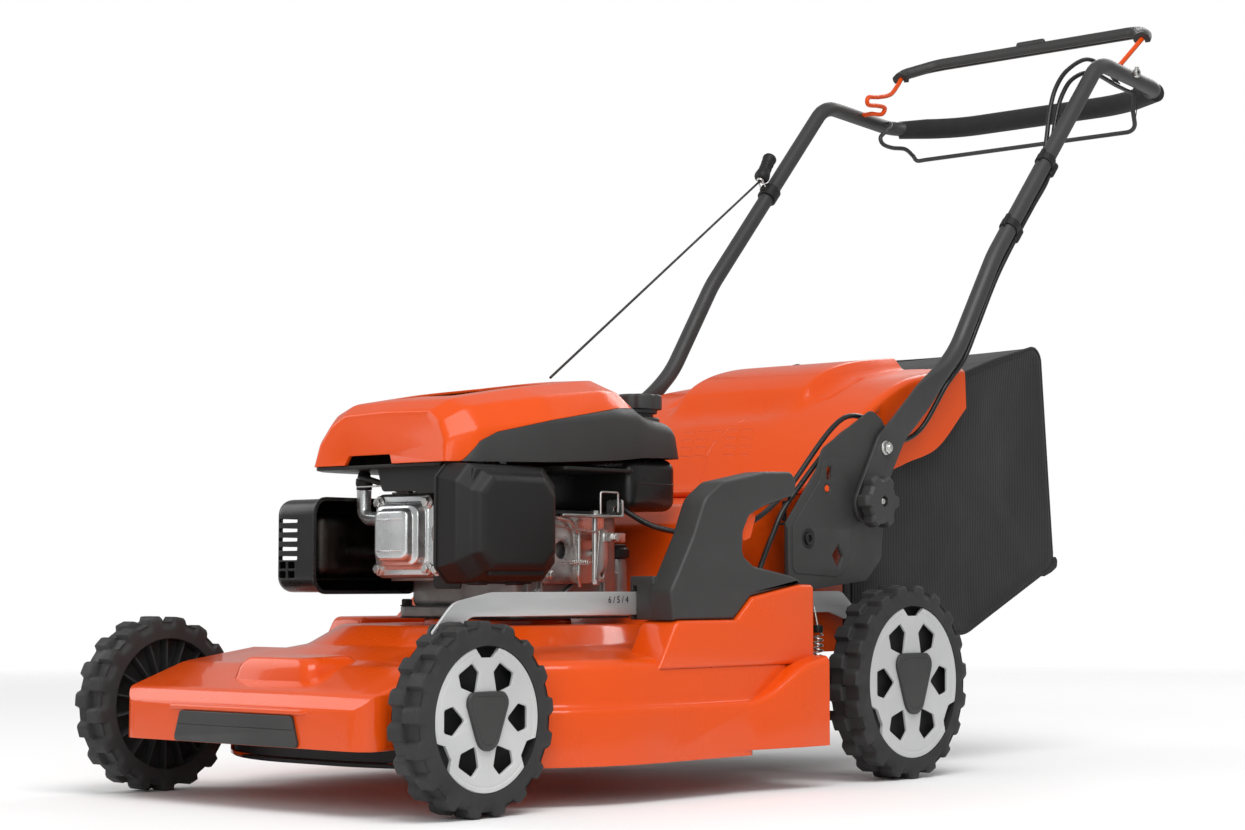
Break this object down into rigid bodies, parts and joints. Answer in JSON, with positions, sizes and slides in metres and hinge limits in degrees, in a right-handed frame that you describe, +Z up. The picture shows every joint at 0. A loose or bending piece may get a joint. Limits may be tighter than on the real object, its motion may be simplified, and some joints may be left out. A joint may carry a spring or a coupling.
{
  "type": "lawn mower",
  "caption": "Self-propelled petrol lawn mower: stamped deck, lugged wheels, upright engine, folding handle with two bails, lifting grip for the cutting height, rear flap and fabric catcher.",
  "frame": {"origin": "on the ground under the rear axle, midway between the wheels, at the centre of the object's box", "axes": "-Y is the way the mower drives, +Y runs back along the handle and is the longest extent, +X is its left side and the shortest extent, +Z is up"},
  "size_m": [0.61, 1.585, 1.0621],
  "materials": {
    "orange_enamel": "glossy orange enamel",
    "orange_moulding": "glossy orange moulding",
    "dark_moulding": "fine-grained dark grey moulding",
    "dark_steel": "dark grey powder coat",
    "black_moulding": "black moulding",
    "wheel_rubber": "matt black tread",
    "soft_rubber": "matt black rubber and foam",
    "light_grey_moulding": "satin light grey moulding",
    "zinc_steel": "zinc-plated steel",
    "cast_alloy": "bare casting",
    "black_steel": "black coated steel",
    "black_fabric": "black woven fabric"
  },
  "bodies": {
    "chassis": {"deck_shell": "orange_enamel", "front_bumper_insert": "dark_moulding", "handle_bracket_left": "dark_steel", "handle_bracket_right": "dark_steel", "height_grip": "dark_moulding", "engine_block": "cast_alloy", "valve_cover": "zinc_steel", "muffler": "zinc_steel", "muffler_guard": "black_moulding", "air_filter_cover": "black_moulding", "carburettor": "cast_alloy", "spark_plug_boot": "soft_rubber", "control_bracket": "zinc_steel", "engine_cover": "orange_moulding", "cover_grille": "black_moulding", "shroud": "dark_moulding", "fuel_tank": "black_moulding", "gearbox": "cast_alloy", "drive_belt": "soft_rubber", "counter_spring": "zinc_steel", "starter_rope": "black_fabric", "brake_cable": "black_moulding", "drive_cable": "black_moulding"},
    "front_crank": {"front_axle_crank": "black_steel"},
    "rear_crank": {"rear_axle_crank": "black_steel"},
    "link_bar": {"height_link_bar": "zinc_steel"},
    "front_left_roller": {"front_left_wheel": "wheel_rubber", "front_left_rim_cover": "light_grey_moulding", "front_left_hub_cap": "dark_moulding"},
    "front_right_roller": {"front_right_wheel": "wheel_rubber", "front_right_rim_cover": "light_grey_moulding", "front_right_hub_cap": "dark_moulding"},
    "rear_left_roller": {"rear_left_wheel": "wheel_rubber", "rear_left_rim_cover": "light_grey_moulding", "rear_left_hub_cap": "dark_moulding"},
    "rear_right_roller": {"rear_right_wheel": "wheel_rubber", "rear_right_rim_cover": "light_grey_moulding", "rear_right_hub_cap": "dark_moulding"},
    "pinion_shaft": {"drive_shaft": "zinc_steel"},
    "crank_train": {"crankshaft": "zinc_steel", "flywheel": "cast_alloy", "blade": "black_steel"},
    "input_pulley": {"gearbox_pulley": "zinc_steel"},
    "skirt": {"trailing_skirt": "soft_rubber"},
    "handle": {"handle_tube": "black_steel", "foam_grip": "soft_rubber", "rope_guide": "black_moulding", "handle_cables": "black_moulding"},
    "brake_lever": {"brake_bail": "orange_enamel", "brake_bail_grip": "dark_moulding"},
    "drive_lever": {"drive_bail": "black_steel"},
    "knob_left": {"clamp_knob_left": "dark_moulding"},
    "knob_right": {"clamp_knob_right": "dark_moulding"},
    "pull_grip": {"starter_grip": "black_moulding"},
    "flap": {"rear_flap": "orange_moulding"},
    "catcher": {"catcher_bag": "black_fabric", "catcher_frame": "black_moulding"},
    "fuel_lid": {"fuel_cap": "dark_moulding"},
    "oil_lid": {"oil_cap": "black_moulding"},
    "release_lever": {"height_release_lever": "orange_moulding"}
  },
  "joints": [
    {"name": "height_adjust", "type": "hinge", "parent": "chassis", "child": "front_crank", "pos_m": [0, -0.7355, 0.0975], "axis": [1, 0, 0], "range_deg": [-35, 35], "deforming": ["counter_spring"]},
    {"name": "rear_height", "type": "hinge", "parent": "chassis", "child": "rear_crank", "pos_m": [0, -0.0425, 0.115], "axis": [1, 0, 0], "range_deg": [-35, 35]},
    {"name": "link_swing", "type": "hinge", "parent": "front_crank", "child": "link_bar", "pos_m": [0.215, -0.7055, 0.1825], "axis": [1, 0, 0], "range_deg": [-35, 35]},
    {"name": "front_left_spin", "type": "hinge", "parent": "front_crank", "child": "front_left_roller", "pos_m": [0.2505, -0.693, 0.0975], "axis": [1, 0, 0], "continuous": true},
    {"name": "front_right_spin", "type": "hinge", "parent": "front_crank", "child": "front_right_roller", "pos_m": [-0.2505, -0.693, 0.0975], "axis": [1, 0, 0], "continuous": true},
    {"name": "rear_left_spin", "type": "hinge", "parent": "rear_crank", "child": "rear_left_roller", "pos_m": [0.28, 0, 0.115], "axis": [1, 0, 0], "continuous": true},
    {"name": "rear_right_spin", "type": "hinge", "parent": "rear_crank", "child": "rear_right_roller", "pos_m": [-0.28, 0, 0.115], "axis": [1, 0, 0], "continuous": true},
    {"name": "drive_shaft_spin", "type": "hinge", "parent": "rear_crank", "child": "pinion_shaft", "pos_m": [0, -0.0425, 0.115], "axis": [1, 0, 0], "continuous": true},
    {"name": "blade_spin", "type": "hinge", "parent": "chassis", "child": "crank_train", "pos_m": [0, -0.4, 0.127], "axis": [0, 0, 1], "continuous": true},
    {"name": "gearbox_input_spin", "type": "hinge", "parent": "chassis", "child": "input_pulley", "pos_m": [0, -0.108, 0.127], "axis": [0, 0, 1], "continuous": true},
    {"name": "skirt_swing", "type": "hinge", "parent": "chassis", "child": "skirt", "pos_m": [0, -0.157, 0.086], "axis": [1, 0, 0], "range_deg": [0, 60]},
    {"name": "handle_fold", "type": "hinge", "parent": "chassis", "child": "handle", "pos_m": [0, 0.033, 0.398], "axis": [1, 0, 0], "range_deg": [0, 120], "deforming": ["starter_rope", "brake_cable", "drive_cable"]},
    {"name": "brake_bail_pull", "type": "hinge", "parent": "handle", "child": "brake_lever", "pos_m": [0, 0.64, 0.957], "axis": [-1, 0, 0], "range_deg": [0, 30], "stiffness_Nm_per_rad": 1.5, "springref_deg": -28.65},
    {"name": "drive_bail_pull", "type": "hinge", "parent": "handle", "child": "drive_lever", "pos_m": [0, 0.695, 0.95], "axis": [1, 0, 0], "range_deg": [0, 20], "stiffness_Nm_per_rad": 1, "springref_deg": -28.65},
    {"name": "knob_left_turn", "type": "hinge", "parent": "handle", "child": "knob_left", "pos_m": [0.245, -0.003, 0.331], "axis": [1, 0, 0], "range_deg": [0, 360]},
    {"name": "knob_right_turn", "type": "hinge", "parent": "handle", "child": "knob_right", "pos_m": [-0.245, -0.003, 0.331], "axis": [1, 0, 0], "range_deg": [0, 360]},
    {"name": "starter_pull", "type": "slide", "parent": "handle", "child": "pull_grip", "axis": [0, 0.5355, 0.8445], "range_m": [0, 0.6], "stiffness_N_per_m": 15, "springref_m": -0.5},
    {"name": "flap_lift", "type": "hinge", "parent": "chassis", "child": "flap", "pos_m": [0, -0.08, 0.345], "axis": [1, 0, 0], "range_deg": [0, 30], "stiffness_Nm_per_rad": 1, "springref_deg": -28.65},
    {"name": "catcher_pull", "type": "slide", "parent": "chassis", "child": "catcher", "axis": [0, 1, 0], "range_m": [0, 0.5]},
    {"name": "fuel_cap_turn", "type": "hinge", "parent": "chassis", "child": "fuel_lid", "pos_m": [0.086, -0.252, 0.4395], "axis": [0, 0, 1], "range_deg": [0, 120]},
    {"name": "oil_cap_turn", "type": "hinge", "parent": "chassis", "child": "oil_lid", "pos_m": [0.065, -0.268, 0.262], "axis": [0, 0, 1], "range_deg": [0, 120]},
    {"name": "height_release_pull", "type": "hinge", "parent": "chassis", "child": "release_lever", "pos_m": [0.255, -0.2885, 0.3145], "axis": [-1, 0, 0], "range_deg": [0, 12], "stiffness_Nm_per_rad": 0.3, "springref_deg": -17.19}
  ],
  "couplings": [
    {"joint": "rear_height", "follows": "height_adjust", "ratio": 1},
    {"joint": "link_swing", "follows": "height_adjust", "ratio": -1},
    {"joint": "rear_right_spin", "follows": "rear_left_spin", "ratio": 1},
    {"joint": "drive_shaft_spin", "follows": "rear_left_spin", "ratio": 3.8333},
    {"joint": "gearbox_input_spin", "follows": "blade_spin", "ratio": 1.16}
  ]
}
